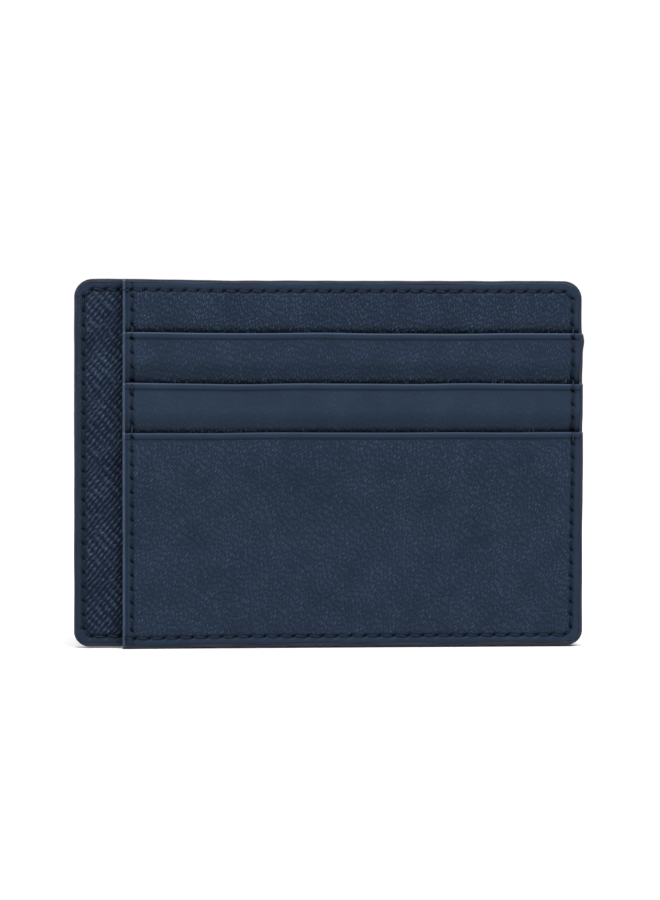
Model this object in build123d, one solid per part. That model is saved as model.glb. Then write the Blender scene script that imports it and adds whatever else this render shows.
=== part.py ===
"""Leather card holder with three stepped card slots and a slip pocket that opens to the left.

Frame: +X to the right, -Y to the front, +Z up towards the slot mouths, millimetres.
The origin is under the middle of the holder, on the surface that its bottom edge stands on.

The holder is a sandwich. A depth is measured forwards, along -Y, from the front face of the
inner panel: the rear layers have negative depths, and the pocket group has positive ones.
"""
from build123d import *
import os
from math import hypot

# Outline
body_width = 102.0
body_height = 73.6
top_corner_radius = 3.6
bottom_corner_radius = 2.9
mouth_inset = 9.7  # from the left edge to the open left edge of the pocket group
edge_coat = 0.25  # paint film on the cut edges

# Rear layers
panel_leather = 0.9
board = 0.4

# Pocket group
textile = 0.15
side_pocket_textile = 0.25
side_pocket_gap = 0.2
seam_room = 0.12  # between two textile layers, where a hidden seam's thread lies
pocket_leather = 0.7
band_height = 14.5
hem_tops = {"upper": 63.1, "middle": 53.0, "front": 43.2}
hem_height = 6.0
hem_overlap = 4.0  # how far a layer reaches down behind the next hem
skived_leather = 0.35  # the turned-down part of a hem
tape = 0.1
tape_end_gap = 0.6
fold_leather = 0.7  # leather above the hollow of the fold
drape_height = 2.6  # a front comes back from its hem to its body over this height
front_drape_height = 3.2
upper_lining_bottom = 18.0
middle_lining_bottom = 10.0
lining_step = 1.0  # below the upper lining's end, where the linings over it start to step back
lining_shift = 3.0  # height over which the middle lining steps back to the slot back

# Seams
seam_inset = 2.1
seam_corner_cut = 1.4  # the perimeter seam cuts each corner by this much
mouth_seam_inset = 1.85
stitch_pitch = {"top": 2.64, "bottom": 2.88, "left": 2.9, "right": 2.66, "mouth": 2.8}
hidden_pitch = 3.0
thread_width = 0.42
thread_height = 0.25
pressed_thread = 0.1  # thread flattened between two layers
thread_end_dip = 0.08  # height of a stitch over its needle holes
thread_rise = 0.4  # length over which a stitch rises out of its hole
leg_width = 0.4
needle_hole = 0.5
corner_clearance = 0.3  # from a corner's needle hole to the end of its slanting stitch
channel_width = 0.46  # groove in the rear panel that the rear thread lies flush in
hidden_hole_length = 2.0  # reaches through every lining at a hidden seam
lining_seam_allowance = 1.5
stem_clearance = 0.8  # from a side seam to the narrow stem of a pocket lining

# Margins for the shapes that cut or bound other shapes
cut_margin = 1.0
step_width = 0.01  # a step in a surface line, as wide as this so that it has one depth everywhere

# Depths of the layers, from the inner panel forwards
rear_depth = -(2 * panel_leather + board)
lining_back = side_pocket_gap
slot_back = lining_back + side_pocket_textile + seam_room
band_back = slot_back + textile
band_front = band_back + pocket_leather
hem_hollow = textile + tape
hem_thickness = skived_leather + hem_hollow + pocket_leather
fold_radius = hem_thickness / 2
fold_chamfer = fold_radius * (2 - 2**0.5)  # the 45 degree tangent of the fold, as a chamfer
upper_lining_back = slot_back + textile
upper_front = upper_lining_back + textile + pocket_leather
middle_lining_back = upper_lining_back + textile + seam_room
middle_front = middle_lining_back + textile + pocket_leather
front_lining_back = middle_lining_back + textile
front_front = front_lining_back + textile + pocket_leather

# Places of the seams
half_width = body_width / 2
mouth_x = mouth_inset - half_width
mouth_seam_x = mouth_x + mouth_seam_inset
seam_x = half_width - seam_inset
seam_top = body_height - seam_inset
row_end_x = seam_x - seam_corner_cut
row_bottom = seam_inset + seam_corner_cut
row_top = seam_top - seam_corner_cut
stem_left = mouth_seam_x + stem_clearance
stem_right = seam_x - stem_clearance
lining_bottoms = {"upper": upper_lining_bottom, "middle": middle_lining_bottom}

# Each pocket: the depth that its hem lies on, and the back of its lining below the hem as
# (height, depth) points from the drape down to the lowest point.
front_drape_end = hem_tops["front"] - hem_height - front_drape_height
step_top = upper_lining_bottom - lining_step
pockets = {
    "upper": {
        "hem_back": band_front,
        "leather_bottom": hem_tops["middle"] - hem_overlap,
        "lining": [
            (hem_tops["upper"] - hem_height - drape_height, upper_lining_back),
            (upper_lining_bottom, upper_lining_back),
        ],
    },
    "middle": {
        "hem_back": upper_front,
        "leather_bottom": hem_tops["front"] - hem_overlap,
        "lining": [
            (hem_tops["middle"] - hem_height - drape_height, middle_lining_back),
            (step_top, middle_lining_back),
            (step_top - lining_shift, upper_lining_back),
            (middle_lining_bottom, upper_lining_back),
        ],
    },
    "front": {
        "hem_back": middle_front,
        "leather_bottom": edge_coat,
        "lining": [
            (front_drape_end, front_lining_back),
            (step_top, front_lining_back),
            (upper_lining_bottom - 2 * lining_shift, middle_lining_back),
            (edge_coat, middle_lining_back),
        ],
    },
}


def spaced(first, last, pitch):
    """Evenly spaced places from first to last, about a pitch apart."""
    count = round((last - first) / pitch)
    return [first + (last - first) * i / count for i in range(count + 1)]


def body_front(pocket):
    """The front of a pocket's leather below its hem, as (height, depth) points downwards."""
    bottom = pocket["leather_bottom"]
    line = [(z, depth + textile + pocket_leather) for z, depth in pocket["lining"] if z >= bottom]
    if line[-1][0] > bottom:
        line.append((bottom, line[-1][1]))
    return line


def surface_line():
    """The front of the whole pocket group from the bottom up, as (height, depth) points."""
    line = []
    for name in ("front", "middle", "upper"):
        pocket = pockets[name]
        hem_top = hem_tops[name]
        hem_front = pocket["hem_back"] + hem_thickness
        below = line[-1][0] if line else 0.0
        body = [point for point in reversed(body_front(pocket)) if point[0] > below]
        line.append((below, body_front(pocket)[-1][1] if not body else body[0][1]))
        line += body
        line.append((hem_top - hem_height, hem_front))
        line.append((hem_top - fold_chamfer, hem_front))
        line.append((hem_top, hem_front - fold_chamfer))
    line.append((hem_tops["upper"] + step_width, band_front))
    line.append((body_height, band_front))
    return line


def depth_at(line, place):
    """The depth of a (place, depth) line at one place."""
    for (a, depth_a), (b, depth_b) in zip(line, line[1:]):
        if a <= place <= b and b > a:
            return depth_a + (depth_b - depth_a) * (place - a) / (b - a)
    return line[-1][1]


def hole_depth(line, place):
    """The highest depth of a line across one needle hole."""
    return max(depth_at(line, place + offset) for offset in (-needle_hole / 2, 0, needle_hole / 2))


def taut(points):
    """The upper hull of points in order: how a tight thread spans what lies under it."""
    hull = []
    for point in points:
        while len(hull) > 1:
            (x1, y1), (x2, y2) = hull[-2], hull[-1]
            if (x2 - x1) * (point[1] - y1) - (y2 - y1) * (point[0] - x1) < 0:
                break
            hull.pop()
        hull.append(point)
    return hull


def stitch_outline(holes, surface, leg_end, height):
    """One side of a stitched row: a thread that dips into every hole and has a leg in each.

    All places are (distance along the row, depth away from the middle of the sandwich).
    """
    half_leg = leg_width / 2
    under = []
    over = [(holes[0], hole_depth(surface, holes[0]) + thread_end_dip)]
    for a, b in zip(holes, holes[1:]):
        between = [point for point in surface if a + half_leg < point[0] < b - half_leg]
        ends = [(a + half_leg, hole_depth(surface, a)), (b - half_leg, hole_depth(surface, b))]
        span = taut([ends[0]] + between + [ends[1]])
        if leg_end is not None:
            under += [(a - half_leg, leg_end), (a + half_leg, leg_end)]
        under += span
        full = [a + half_leg + thread_rise, b - half_leg - thread_rise]
        for s in sorted({s for s, _ in span[1:-1]} | set(full)):
            share = min(1.0, (s - a) / (full[0] - a), (b - s) / (b - full[1]))
            over.append((s, depth_at(span, s) + thread_end_dip + share * (height - thread_end_dip)))
        over.append((b, hole_depth(surface, b) + thread_end_dip))
    if leg_end is None:
        return [(holes[0], under[0][1])] + under + [(holes[-1], under[-1][1])] + over[::-1]
    under += [(holes[-1] - half_leg, leg_end), (holes[-1] + half_leg, leg_end)]
    first = (holes[0] - half_leg, over[0][1])
    last = (holes[-1] + half_leg, over[-1][1])
    return under + [last] + over[::-1] + [first]


def stepped_line(depth):
    """The front face along X: the bare strip, then the pocket group at a depth."""
    return [(-half_width, 0.0), (mouth_x, 0.0), (mouth_x + step_width, depth), (half_width, depth)]


# The seams' needle holes, and the surface that each row's front thread lies on
group_surface = surface_line()
top_holes = spaced(-row_end_x, row_end_x, stitch_pitch["top"])
bottom_holes = spaced(-row_end_x, row_end_x, stitch_pitch["bottom"])
left_holes = spaced(row_bottom, row_top, stitch_pitch["left"])
right_holes = spaced(row_bottom, row_top, stitch_pitch["right"])
mouth_holes = spaced(row_bottom, row_top, stitch_pitch["mouth"])
bottom_front = group_surface[0][1]
flat_line = [(-body_width, 0.0), (body_width, 0.0)]
front_outline = stitch_outline(right_holes, group_surface, 0.0, thread_height)
front_reach = max(depth for _, depth in front_outline)

# The box's middle is at y = 0
face_y = (front_reach + rear_depth) / 2


def outline(inset):
    """The holder's rounded outline, drawn in by an inset."""
    shape = Pos(0, body_height / 2) * Rectangle(body_width - 2 * inset, body_height - 2 * inset)
    corners = shape.vertices().sort_by(Axis.Y)
    shape = fillet(corners[2:], top_corner_radius - inset)
    corners = shape.vertices().sort_by(Axis.Y)
    return fillet(corners[:2], bottom_corner_radius - inset)


def layer(shape, back, front):
    """A flat layer of an X-Z shape between two depths."""
    return extrude(Plane.XZ.offset(back - face_y) * shape, front - back)


def rectangle(left, right, bottom, top):
    return Pos((left + right) / 2, (bottom + top) / 2) * Rectangle(right - left, top - bottom)


def across(edges, left, right):
    """A solid with one profile in Y and Z all the way from left to right."""
    return extrude(Plane.YZ.offset(left) * make_face(edges), right - left)


def place(points):
    """(height, depth) points as (y, z) points."""
    return [(face_y - depth, z) for z, depth in points]


def sewn(solid):
    """A layer with the needle holes of both seams through it."""
    return solid - needle_holes


def group_outline(inset):
    """The part of the outline that the pocket group covers."""
    return outline(edge_coat) & rectangle(mouth_x + inset, half_width, 0.0, body_height)


def pocket_leather_solid(name):
    """One pocket front: turned hem with its fold at the top, drape, then the body."""
    pocket = pockets[name]
    top = hem_tops[name]
    back = pocket["hem_back"]
    front = back + hem_thickness
    hem_bottom = top - hem_height
    hollow_top = top - fold_leather
    fold_start = top - fold_radius
    body = body_front(pocket)
    fold = ThreePointArc(*place([(fold_start, back), (top, back + fold_radius), (fold_start, front)]))
    rest = Polyline(
        *place(
            [(fold_start, front), (hem_bottom, front)]
            + body
            + [(z, depth - pocket_leather) for z, depth in reversed(body)]
            + [
                (hem_bottom, front - pocket_leather),
                (hollow_top, front - pocket_leather),
                (hollow_top, back + skived_leather),
                (hem_bottom, back + skived_leather),
                (hem_bottom, back),
                (fold_start, back),
            ]
        )
    )
    solid = across(fold.edges() + rest.edges(), mouth_x + edge_coat, half_width)
    return sewn(solid & group_prism)


def pocket_tape_solid(name):
    """Reinforcing tape inside a hem, against the back of the front leather."""
    pocket = pockets[name]
    top = hem_tops[name]
    front = pocket["hem_back"] + hem_thickness - pocket_leather
    shape = rectangle(
        mouth_x + edge_coat,
        half_width - edge_coat,
        top - hem_height + tape_end_gap,
        top - fold_leather,
    )
    return sewn(layer(shape, front - tape, front))


def pocket_lining_solid(name):
    """Textile lining: caught in the hem, draped back, and hanging down as a narrower stem."""
    pocket = pockets[name]
    top = hem_tops[name]
    hem_depth = pocket["hem_back"] + skived_leather
    back = [(top - fold_leather, hem_depth), (top - hem_height, hem_depth)] + pocket["lining"]
    front = [(z, depth + textile) for z, depth in reversed(back)]
    profile = Polyline(*place(back + front), close=True).edges()
    solid = across(profile, mouth_x + edge_coat, half_width) & group_prism
    if name in lining_bottoms:
        wide = rectangle(mouth_x, half_width, pocket["leather_bottom"], body_height)
        stem = rectangle(stem_left, stem_right, lining_bottoms[name], body_height)
        solid = solid & layer(wide + stem, 0.0, front_reach)
        solid = solid - hidden_holes(lining_bottoms[name] + lining_seam_allowance)
    return sewn(solid)


def row_plane(start, end):
    """A plane with x along a row and y forwards, out of the front."""
    along = Vector(end[0] - start[0], 0, end[1] - start[1]).normalized()
    return Plane(
        origin=(start[0], face_y, start[1]),
        x_dir=along,
        z_dir=Vector(along.Z, 0, -along.X),
    )


def thread_row(start, end, points, mirrored):
    """One stitched row as a solid; a mirrored one lies on the back of its layers."""
    if mirrored is not None:
        points = [(s, mirrored - depth) for s, depth in points]
    face = make_face(Polyline(*points, close=True).edges())
    return extrude(row_plane(start, end) * face, thread_width / 2, both=True)


def shifted(line, first):
    return [(s - first, depth) for s, depth in line]


def side_row(holes, fixed, upright, surface, leg_end, height, mirrored=None):
    """A row along X at a height, or upright at an x."""
    first, last = holes[0], holes[-1]
    ends = ((fixed, first), (fixed, last)) if upright else ((first, fixed), (last, fixed))
    points = stitch_outline([h - first for h in holes], shifted(surface, first), leg_end, height)
    return thread_row(*ends, points, mirrored)


def corner_row(start, end, depth, mirrored=None):
    """The one slanting stitch that cuts a corner, clear of the legs at its two holes."""
    length = hypot(end[0] - start[0], end[1] - start[1])
    ends = [corner_clearance, length - corner_clearance]
    line = [(0.0, depth), (length, depth)]
    return thread_row(start, end, stitch_outline(ends, line, None, thread_height), mirrored)


def corner_ends():
    """Start and end of the slanting stitch at each corner, and the depth that it lies on."""
    for side in (-1, 1):
        top_depth = band_front if side > 0 else 0.0
        bottom_depth = bottom_front if side > 0 else 0.0
        yield (side * row_end_x, seam_top), (side * seam_x, row_top), top_depth
        yield (side * row_end_x, seam_inset), (side * seam_x, row_bottom), bottom_depth


def perimeter_needle_thread():
    """Front thread of the perimeter lockstitch; its legs end in the middle of the board."""
    leg_end = -panel_leather - board / 2
    top_line, bottom_line = stepped_line(band_front), stepped_line(bottom_front)
    rows = [
        side_row(top_holes, seam_top, False, top_line, leg_end, thread_height),
        side_row(bottom_holes, seam_inset, False, bottom_line, leg_end, thread_height),
        side_row(left_holes, -seam_x, True, flat_line, leg_end, thread_height),
        side_row(right_holes, seam_x, True, group_surface, leg_end, thread_height),
    ]
    rows += [corner_row(*corner) for corner in corner_ends()]
    return Compound(children=rows)


def perimeter_bobbin_thread():
    """Rear thread of the perimeter lockstitch, flush with the rear panel in its channel."""
    leg_end = thread_height - panel_leather - board / 2
    floor = rear_depth + thread_height
    rows = []
    for holes, fixed, upright in (
        (top_holes, seam_top, False),
        (bottom_holes, seam_inset, False),
        (left_holes, -seam_x, True),
        (right_holes, seam_x, True),
    ):
        rows.append(side_row(holes, fixed, upright, flat_line, leg_end, thread_height, floor))
    rows += [corner_row(start, end, 0.0, floor) for start, end, _ in corner_ends()]
    return Compound(children=rows)


def rear_channel():
    """The channel pressed into the rear panel along the perimeter seam."""
    runs = [
        ((top_holes[0], seam_top), (top_holes[-1], seam_top)),
        ((bottom_holes[0], seam_inset), (bottom_holes[-1], seam_inset)),
        ((-seam_x, left_holes[0]), (-seam_x, left_holes[-1])),
        ((seam_x, right_holes[0]), (seam_x, right_holes[-1])),
    ]
    runs += [(start, end) for start, end, _ in corner_ends()]
    boxes = []
    for start, end in runs:
        length = hypot(end[0] - start[0], end[1] - start[1])
        middle = (length / 2, rear_depth + thread_height / 2)
        shape = Pos(*middle) * Rectangle(length + channel_width, thread_height)
        boxes.append(extrude(row_plane(start, end) * shape, channel_width / 2, both=True))
    return Compound(children=boxes)


def mouth_needle_thread():
    """Front thread of the upright seam beside the open edge; it holds the pocket group only."""
    leg_end = slot_back
    return side_row(mouth_holes, mouth_seam_x, True, group_surface, leg_end, thread_height)


def mouth_bobbin_thread():
    """Rear thread of the upright seam, pressed flat in the side pocket."""
    leg_end = -(slot_back - lining_back)
    height = side_pocket_gap - pressed_thread / 2
    return side_row(mouth_holes, mouth_seam_x, True, flat_line, leg_end, height, lining_back)


def hidden_row_holes():
    return spaced(stem_left + hidden_pitch, stem_right - hidden_pitch, hidden_pitch)


def hidden_holes(height):
    """Needle holes of a hidden lining seam."""
    hole = Box(needle_hole, hidden_hole_length, needle_hole)
    return Compound(children=[Pos(x, face_y - slot_back, height) * hole for x in hidden_row_holes()])


def lining_seam_thread(bottom):
    """Both threads of the hidden seam that sews a lining's lower end to the slot back."""
    height = bottom + lining_seam_allowance
    middle = upper_lining_back
    front_line = [(-body_width, middle + textile), (body_width, middle + textile)]
    rear_leg = slot_back - middle
    row = (hidden_row_holes(), height, False)
    needle = side_row(*row, front_line, middle, pressed_thread)
    bobbin = side_row(*row, flat_line, rear_leg, pressed_thread, slot_back)
    return Compound(children=[needle, bobbin])


def filled_pocket(name):
    """Everything from the inner panel's face out to one pocket's front."""
    pocket = pockets[name]
    top = hem_tops[name]
    front = pocket["hem_back"] + hem_thickness
    start = top - fold_radius
    arc_middle = (top - fold_chamfer / 2, front - fold_chamfer / 2)
    fold = ThreePointArc(*place([(start, front), arc_middle, (top, front - fold_radius)]))
    body = body_front(pocket)
    rest = Polyline(
        *place(
            [(top, front - fold_radius), (top, 0.0), (0.0, 0.0), (0.0, body[-1][1])]
            + body[::-1]
            + [(top - hem_height, front), (start, front)]
        )
    )
    return across(fold.edges() + rest.edges(), mouth_x, half_width)


def envelope():
    """The whole sandwich as one filled shape, which the edge paint follows."""
    rear = layer(rectangle(-half_width, half_width, 0.0, body_height), rear_depth, 0.0)
    band = layer(rectangle(mouth_x, half_width, 0.0, body_height), 0.0, band_front)
    return rear.fuse(band, *[filled_pocket(name) for name in pockets])


def perimeter_edge_coat(filled):
    """Paint film round the outline, in straight runs and corners so that each stays simple."""
    ring = outline(0.0) - outline(edge_coat)
    film = layer(ring, rear_depth, front_reach) & filled
    corner_x = half_width - top_corner_radius
    pieces = []
    for left, right in ((-half_width, -corner_x), (-corner_x, corner_x), (corner_x, half_width)):
        for bottom, top in (
            (0.0, top_corner_radius),
            (top_corner_radius, body_height - top_corner_radius),
            (body_height - top_corner_radius, body_height),
        ):
            piece = film & layer(rectangle(left, right, bottom, top), rear_depth, front_reach)
            pieces += piece.solids()
    return Compound(children=pieces)


def mouth_edge_coat(filled):
    """Paint film on the cut left edge of the pocket group."""
    strip = rectangle(mouth_x, mouth_x + edge_coat, edge_coat, body_height - edge_coat)
    return layer(strip, lining_back, front_reach) & filled


def seam_hole(x, z, back):
    """One square needle hole from a depth forwards."""
    length = front_reach + cut_margin - back
    return Pos(x, face_y - back - length / 2, z) * Box(needle_hole, length, needle_hole)


def all_needle_holes():
    """Needle holes of the perimeter seam through everything, and of the upright seam."""
    through = rear_depth - cut_margin
    side_pocket = lining_back - side_pocket_gap / 4
    holes = [seam_hole(x, seam_top, through) for x in top_holes]
    holes += [seam_hole(x, seam_inset, through) for x in bottom_holes]
    holes += [seam_hole(-seam_x, z, through) for z in left_holes]
    holes += [seam_hole(seam_x, z, through) for z in right_holes]
    holes += [seam_hole(mouth_seam_x, z, side_pocket) for z in mouth_holes]
    return Compound(children=holes)


needle_holes = all_needle_holes()
full_outline = outline(edge_coat)
pocket_outline = group_outline(edge_coat)
group_prism = layer(pocket_outline, 0.0, front_reach)
filled_shape = envelope()

rear_panel = layer(full_outline, rear_depth, rear_depth + panel_leather)
side_pocket_lining = layer(pocket_outline, lining_back, lining_back + side_pocket_textile)
slot_back_lining = layer(pocket_outline, slot_back, slot_back + textile)
for lining_bottom in lining_bottoms.values():
    slot_back_lining = slot_back_lining - hidden_holes(lining_bottom + lining_seam_allowance)
band_area = pocket_outline & rectangle(mouth_x, half_width, body_height - band_height, body_height)

nodes = {
    "rear_panel": sewn(rear_panel) - rear_channel(),
    "rear_board": sewn(layer(full_outline, rear_depth + panel_leather, -panel_leather)),
    "inner_panel": sewn(layer(full_outline, -panel_leather, 0.0)),
    "side_pocket_lining": sewn(side_pocket_lining),
    "slot_back_lining": sewn(slot_back_lining),
    "top_band": sewn(layer(band_area, band_back, band_front)),
    "perimeter_edge_coat": perimeter_edge_coat(filled_shape),
    "mouth_edge_coat": mouth_edge_coat(filled_shape),
    "perimeter_needle_thread": perimeter_needle_thread(),
    "perimeter_bobbin_thread": perimeter_bobbin_thread(),
    "mouth_needle_thread": mouth_needle_thread(),
    "mouth_bobbin_thread": mouth_bobbin_thread(),
}
for pocket_name in pockets:
    nodes[pocket_name + "_pocket_leather"] = pocket_leather_solid(pocket_name)
    nodes[pocket_name + "_pocket_tape"] = pocket_tape_solid(pocket_name)
    nodes[pocket_name + "_pocket_lining"] = pocket_lining_solid(pocket_name)
for pocket_name, lining_bottom in lining_bottoms.items():
    nodes[pocket_name + "_lining_seam_thread"] = lining_seam_thread(lining_bottom)

os.makedirs("parts", exist_ok=True)
for node_name, solid in nodes.items():
    export_step(solid, "parts/" + node_name + ".step")
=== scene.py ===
import math

import bpy
import numpy as np
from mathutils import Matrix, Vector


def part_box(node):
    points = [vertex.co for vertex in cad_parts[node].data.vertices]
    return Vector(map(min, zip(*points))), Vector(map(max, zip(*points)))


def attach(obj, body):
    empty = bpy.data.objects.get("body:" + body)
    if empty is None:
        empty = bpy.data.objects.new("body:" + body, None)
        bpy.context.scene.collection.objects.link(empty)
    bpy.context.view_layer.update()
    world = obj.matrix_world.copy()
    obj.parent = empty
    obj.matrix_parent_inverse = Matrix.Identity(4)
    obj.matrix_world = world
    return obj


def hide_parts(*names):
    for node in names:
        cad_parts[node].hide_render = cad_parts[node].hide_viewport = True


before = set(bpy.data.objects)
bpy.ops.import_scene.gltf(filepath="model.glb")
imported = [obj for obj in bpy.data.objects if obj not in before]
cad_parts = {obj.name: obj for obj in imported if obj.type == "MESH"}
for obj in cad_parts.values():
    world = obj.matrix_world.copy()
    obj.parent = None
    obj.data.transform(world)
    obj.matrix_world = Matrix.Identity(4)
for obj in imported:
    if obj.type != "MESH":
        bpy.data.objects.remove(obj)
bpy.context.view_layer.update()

# ---------------------------------------------------------------------------------------------
# Rear panel. One piece of calf leather, 0.9 mm thick, embossed with a fine cross grain before
# it was cut. It is glued to the board and sewn round its edge, so the seam pulls it in.
# Lengths are in millimetres, and a depth counts forwards from the inner panel's front face.

MILLI = 0.001


def box_mm(node):
    """The lowest and highest corner of a node of the frame, in millimetres."""
    low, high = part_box(node)
    return low / MILLI, high / MILLI


coat_high = box_mm("perimeter_edge_coat")[1]
inner_low, inner_high = box_mm("inner_panel")
rear_low, rear_high = box_mm("rear_panel")
mouth_low, mouth_high = box_mm("mouth_edge_coat")
half_width = coat_high.x
height = coat_high.z
film = half_width - inner_high.x
face_y = inner_low.y
rear_face = face_y - rear_high.y
rear_thickness = rear_high.y - rear_low.y
mouth_x = mouth_low.x
top_radius = 3.6
bottom_radius = 2.9
seam_inset = 2.1
corner_cut = 1.4
seam_x = half_width - seam_inset
seam_top = height - seam_inset
row_end = seam_x - corner_cut
row_low = seam_inset + corner_cut
row_high = seam_top - corner_cut


def row(first, last, pitch):
    """Needle holes along one straight row, both ends included."""
    return np.linspace(first, last, round(abs(last - first) / pitch) + 1)


top_row = [(x, seam_top) for x in row(-row_end, row_end, 2.64)]
# the machine was guided by hand, so the other rows run a little nearer to the edge in places
right_row = [(seam_x - 0.2 + 0.5 * z / height, z) for z in row(row_high, row_low, 2.66)]
bottom_row = [(x, seam_inset - 0.15) for x in row(row_end, -row_end, 2.88)]
left_row = [(-seam_x - 0.3, z) for z in row(row_low, row_high, 2.9)]
perimeter_holes = np.array(top_row + right_row + bottom_row + left_row)
perimeter_corners = np.array(
    [holes[end] for holes in (top_row, right_row, bottom_row, left_row) for end in (0, -1)]
)


def smooth(low, high, value):
    """0 below low, 1 above high, with a soft step between them."""
    t = np.clip((value - low) / (high - low), 0.0, 1.0)
    return t * t * (3.0 - 2.0 * t)


def ridge(distance, width):
    """1 on a line, falling away over a width to each side."""
    return np.exp(-((distance / width) ** 2))


def undulation(x, z, wavelength, seed):
    """Slow random unevenness of hand-cut leather, from about -1 to 1."""
    rng = np.random.default_rng(seed)
    total = np.zeros(np.shape(x))
    for _ in range(7):
        angle = rng.uniform(0.0, 2.0 * math.pi)
        rate = 2.0 * math.pi / (wavelength * rng.uniform(0.6, 1.7))
        phase = rng.uniform(0.0, 2.0 * math.pi)
        total = total + np.sin(rate * (x * math.cos(angle) + z * math.sin(angle)) + phase)
    return total / 3.5


def line_distance(x, z, corners, closed):
    """Distance from each point to a line of straight runs."""
    ends = np.roll(corners, -1, axis=0) if closed else corners[1:]
    nearest = np.full(np.shape(x), 1e9)
    for (x1, z1), (x2, z2) in zip(corners, ends):
        dx, dz = x2 - x1, z2 - z1
        t = np.clip(((x - x1) * dx + (z - z1) * dz) / (dx * dx + dz * dz), 0.0, 1.0)
        nearest = np.minimum(nearest, np.hypot(x - x1 - t * dx, z - z1 - t * dz))
    return nearest


slit_turn = math.radians(38.0)  # a leather needle cuts its slits at a slant to the row
slit_half_length = 0.58
slit_half_width = 0.25


def slit_directions(holes, closed):
    """The long direction of each needle slit."""
    before = np.roll(holes, 1, axis=0)
    after = np.roll(holes, -1, axis=0)
    if not closed:
        before[0], after[-1] = holes[0], holes[-1]
    along = np.arctan2(after[:, 1] - before[:, 1], after[:, 0] - before[:, 0]) + slit_turn
    return np.stack([np.cos(along), np.sin(along)], axis=1)


def slit_mask(x, z, holes, closed):
    """1 in the middle of each needle slit, 0 away from them."""
    mask = np.zeros(np.shape(x))
    for (hx, hz), (ux, uz) in zip(holes, slit_directions(holes, closed)):
        near = (np.abs(x - hx) < 1.4) & (np.abs(z - hz) < 1.4)
        dx, dz = x[near] - hx, z[near] - hz
        along, across = dx * ux + dz * uz, dz * ux - dx * uz
        opened = 1.2 * ridge(along, slit_half_length) * ridge(across, slit_half_width)
        mask[near] = np.clip(opened, mask[near], 1.0)
    return mask


seam_sink = 0.14
slit_sink = 0.4
edge_round = 0.75
edge_drop = 0.26


def sewn_relief(x, z):
    """How far the perimeter seam and its needle slits sink a surface, and a mask of painted shade in the
    slits and along the seam's groove.
    """
    mask = slit_mask(x, z, perimeter_holes, True)
    groove = ridge(line_distance(x, z, perimeter_corners, True), 0.45)
        # painted shade along the seam's groove, darker on the left row
    seam_groove_shade = np.where(x < mouth_x, 0.75, 0.45)
    return -seam_sink * groove - slit_sink * mask, np.maximum(mask, seam_groove_shade * groove)


def edge_relief(x, z, left):
    """The cut edge rolls back where it is pressed, sanded and painted."""
    sideways = np.minimum(half_width - film - x, x - left)
    inside = np.minimum(sideways, np.minimum(z - film, height - film - z))
    share = np.clip(1.0 - inside / edge_round, 0.0, 1.0)
    return -edge_drop * share**2.2


def graded(first, last, coarse, fine, lines, reach=1.1):
    """Places from first to last, closer together near certain lines."""
    places = [first]
    while places[-1] < last:
        near = min((abs(places[-1] - line) for line in lines), default=reach + 1.0)
        places.append(places[-1] + (fine if near < reach else coarse))
    places = np.array(places)
    return first + (places - first) * (last - first) / (places[-1] - first)


def rounded(x, z, inset, left_too):
    """Takes points of a square-cornered sheet into the rounded outline, corner by corner."""
    x, z = np.array(x, float), np.array(z, float)
    for side in (-1, 1) if left_too else (1,):
        for up, radius in ((-1, bottom_radius - inset), (1, top_radius - inset)):
            centre_x = side * (half_width - inset - radius)
            centre_z = (height - inset - radius) if up > 0 else inset + radius
            a = side * (x - centre_x) / radius
            b = up * (z - centre_z) / radius
            hit = (a > 0) & (b > 0)
            a, b = np.clip(a[hit], 0, 1), np.clip(b[hit], 0, 1)
            x[hit] = centre_x + side * radius * a * np.sqrt(1 - b * b / 2)
            z[hit] = centre_z + up * radius * b * np.sqrt(1 - a * a / 2)
    return x, z


def mesh_piece(name, points, faces, material, values=None):
    """A plain mesh object from points in (x, depth, z) millimetres, with its faces outwards."""
    points = np.asarray(points, float)
    place = np.stack([points[:, 0], face_y - points[:, 1], points[:, 2]], axis=1) * MILLI
    mesh = bpy.data.meshes.new(name)
    mesh.from_pydata(place.tolist(), [], faces)
    mesh.update()
    mesh.calc_loop_triangles()
    corners = np.array([t.vertices for t in mesh.loop_triangles])
    a, b, c = (place[corners[:, i]] for i in range(3))
    if np.einsum("ij,ij->i", a, np.cross(b, c)).sum() < 0:
        mesh.flip_normals()
    mesh.shade_smooth()
    for key, numbers in (values or {}).items():
        attribute = mesh.attributes.new(key, "FLOAT", "POINT")
        attribute.data.foreach_set("value", np.asarray(numbers, np.float32))
    mesh.materials.append(material)
    piece = bpy.data.objects.new(name, mesh)
    bpy.context.scene.collection.objects.link(piece)
    return piece


def loft_faces(columns, ring, closed=False):
    """Faces of a loft: each column is a closed ring of points. Open lofts get end caps."""
    faces = []
    for i in range(columns if closed else columns - 1):
        a, b = i * ring, ((i + 1) % columns) * ring
        faces += [(a + j, a + (j + 1) % ring, b + (j + 1) % ring, b + j) for j in range(ring)]
    if not closed:
        faces.append(tuple(range(ring))[::-1])
        faces.append(tuple((columns - 1) * ring + j for j in range(ring)))
    return faces


def linear(code):
    """An sRGB hex colour as the linear colour that shaders use."""
    parts = [int(code[i : i + 2], 16) / 255 for i in (1, 3, 5)]
    return [c / 12.92 if c <= 0.04045 else ((c + 0.055) / 1.055) ** 2.4 for c in parts] + [1.0]


def new_material(name):
    """An empty material with its shader and output, and its node tree."""
    material = bpy.data.materials.new(name)
    material.use_nodes = True
    tree = material.node_tree
    shader = tree.nodes["Principled BSDF"]
    return material, tree, shader


def add(tree, kind, inputs=None, **settings):
    """Adds a node with its settings, and sets or links its inputs."""
    node = tree.nodes.new(kind)
    for key, value in settings.items():
        setattr(node, key, value)
    for key, value in (inputs or {}).items():
        if isinstance(value, bpy.types.NodeSocket):
            tree.links.new(value, node.inputs[key])
        else:
            node.inputs[key].default_value = value
    return node


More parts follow.
